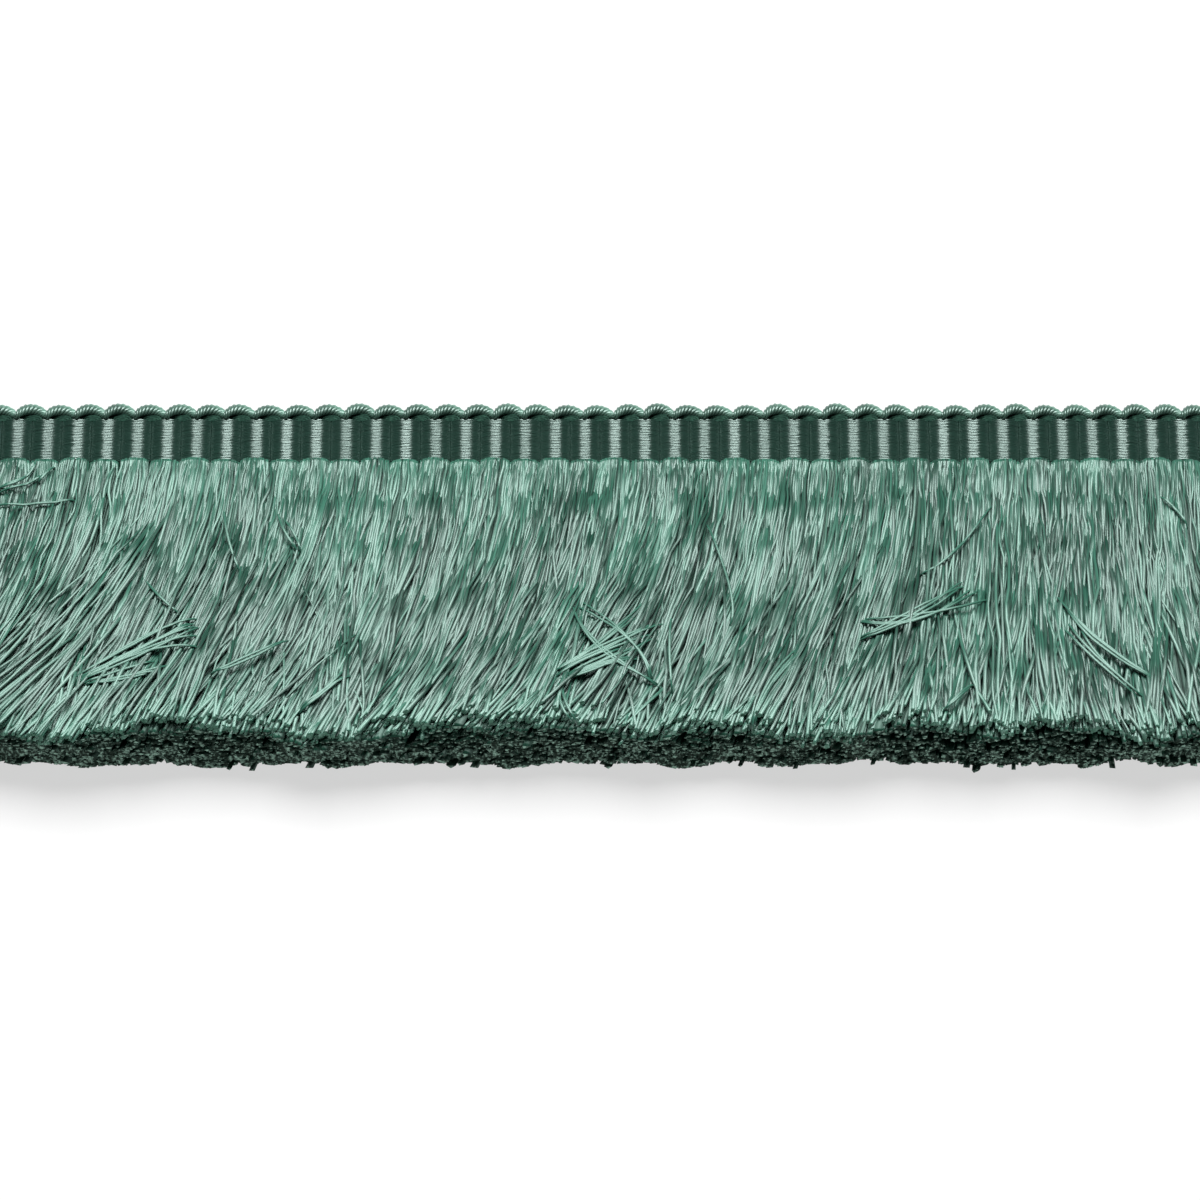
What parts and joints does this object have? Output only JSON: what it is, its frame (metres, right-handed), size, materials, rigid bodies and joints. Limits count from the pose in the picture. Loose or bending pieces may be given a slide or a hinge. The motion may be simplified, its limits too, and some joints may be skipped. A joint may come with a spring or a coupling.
{
  "type": "brush fringe trim",
  "caption": "Cut length of brush fringe trim in silky yarn, with a ribbed woven heading, a scalloped cord edge and a dense cut brush, for the seams of cushions, curtains and upholstery.",
  "frame": {"origin": "middle of the flat back of the woven heading, halfway along the trim, where the trim is sewn or glued down", "axes": "+X along the trim, +Y from the brush towards the scalloped cord edge, +Z out of the face of the trim, away from the surface that it lies on"},
  "size_m": [0.1364, 0.0377, 0.0081],
  "materials": {
    "heading_silk": "fine woven yarn with a silky gloss, blue-green",
    "cord_silk": "plied yarn cord with a silky gloss, blue-green",
    "brush_silk": "loose soft yarns with a silky gloss, sage to blue-green"
  },
  "bodies": {
    "root": {"ribbed_heading": "heading_silk", "scalloped_edge_cord": "cord_silk", "brush_skirt": "brush_silk"}
  },
  "joints": []
}
